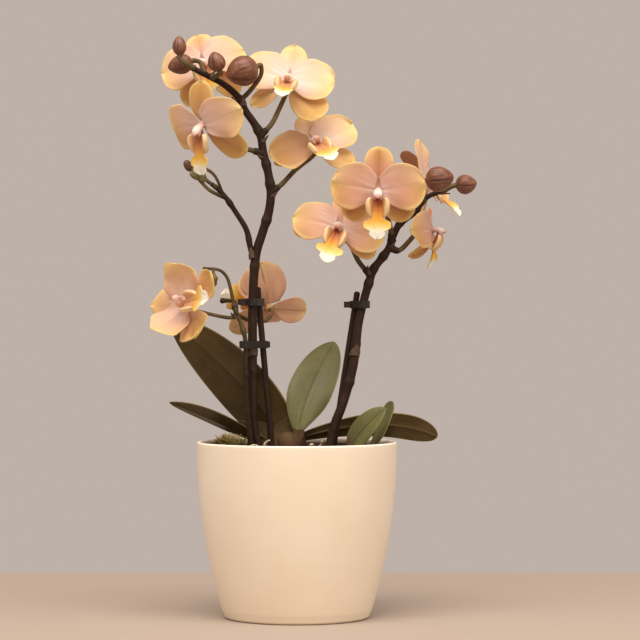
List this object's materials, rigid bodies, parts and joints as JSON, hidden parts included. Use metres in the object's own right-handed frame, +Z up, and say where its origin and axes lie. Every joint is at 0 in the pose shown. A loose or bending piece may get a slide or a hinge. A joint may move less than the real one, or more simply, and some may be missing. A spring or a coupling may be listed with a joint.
{
  "type": "potted moth orchid",
  "caption": "Moth orchid in a round tapering cover pot: leaning flower spikes on stakes, open peach blooms with orange lips, closed brown buds and strap leaves.",
  "frame": {"origin": "centre of the cover pot's flat foot, on the surface it stands on", "axes": "+Z up, +X to the right as the plant is seen from its front, +Y away from the viewer"},
  "size_m": [0.2122, 0.13, 0.3818],
  "materials": {
    "cream_pot": "satin cream, smooth",
    "growing_pot_plastic": "thin smoky plastic",
    "bark": "rough dark bark chips",
    "moss": "dry yellow-green moss",
    "crown": "reddish-brown leaf sheath",
    "leaf_green": "leathery grey-green leaf",
    "leaf_dark": "leathery olive-brown leaf in shade",
    "spike_stem": "dark brown flower stem",
    "stake": "dark brown support stick",
    "clip": "very dark orchid clip",
    "bud": "brown ribbed flower bud",
    "petal_peach": "peach sepals and petals with yellow edges",
    "lip_orange": "orange-yellow lip with a pale tip and a pinkish column"
  },
  "bodies": {
    "root": {"bloom_01_lip": "lip_orange", "bloom_01_tepals": "petal_peach", "bloom_02_lip": "lip_orange", "bloom_02_tepals": "petal_peach", "bloom_03_lip": "lip_orange", "bloom_03_tepals": "petal_peach", "bloom_04_lip": "lip_orange", "bloom_04_tepals": "petal_peach", "bloom_05_lip": "lip_orange", "bloom_05_tepals": "petal_peach", "bloom_06_lip": "lip_orange", "bloom_06_tepals": "petal_peach", "bloom_07_lip": "lip_orange", "bloom_07_tepals": "petal_peach", "bloom_08_lip": "lip_orange", "bloom_08_tepals": "petal_peach", "bloom_09_lip": "lip_orange", "bloom_09_tepals": "petal_peach", "bloom_10_lip": "lip_orange", "bloom_10_tepals": "petal_peach", "bud_right_large": "bud", "bud_right_tip": "bud", "bud_side_branch": "bud", "bud_top": "bud", "bud_top_large": "bud", "bud_top_left": "bud", "bud_top_middle": "bud", "clip_left_lower": "clip", "clip_left_upper": "clip", "clip_right": "clip", "cover_pot": "cream_pot", "growing_pot": "growing_pot_plastic", "leaf_front_right": "leaf_green", "leaf_large_left": "leaf_dark", "leaf_long_right": "leaf_dark", "leaf_low_left": "leaf_dark", "leaf_narrow_right": "leaf_green", "leaf_upright_middle": "leaf_green", "left_crown": "crown", "left_spike": "spike_stem", "left_stake": "stake", "low_spike": "spike_stem", "moss": "moss", "potting_medium": "bark", "right_crown": "crown", "right_spike": "spike_stem", "right_stake": "stake"}
  },
  "joints": []
}
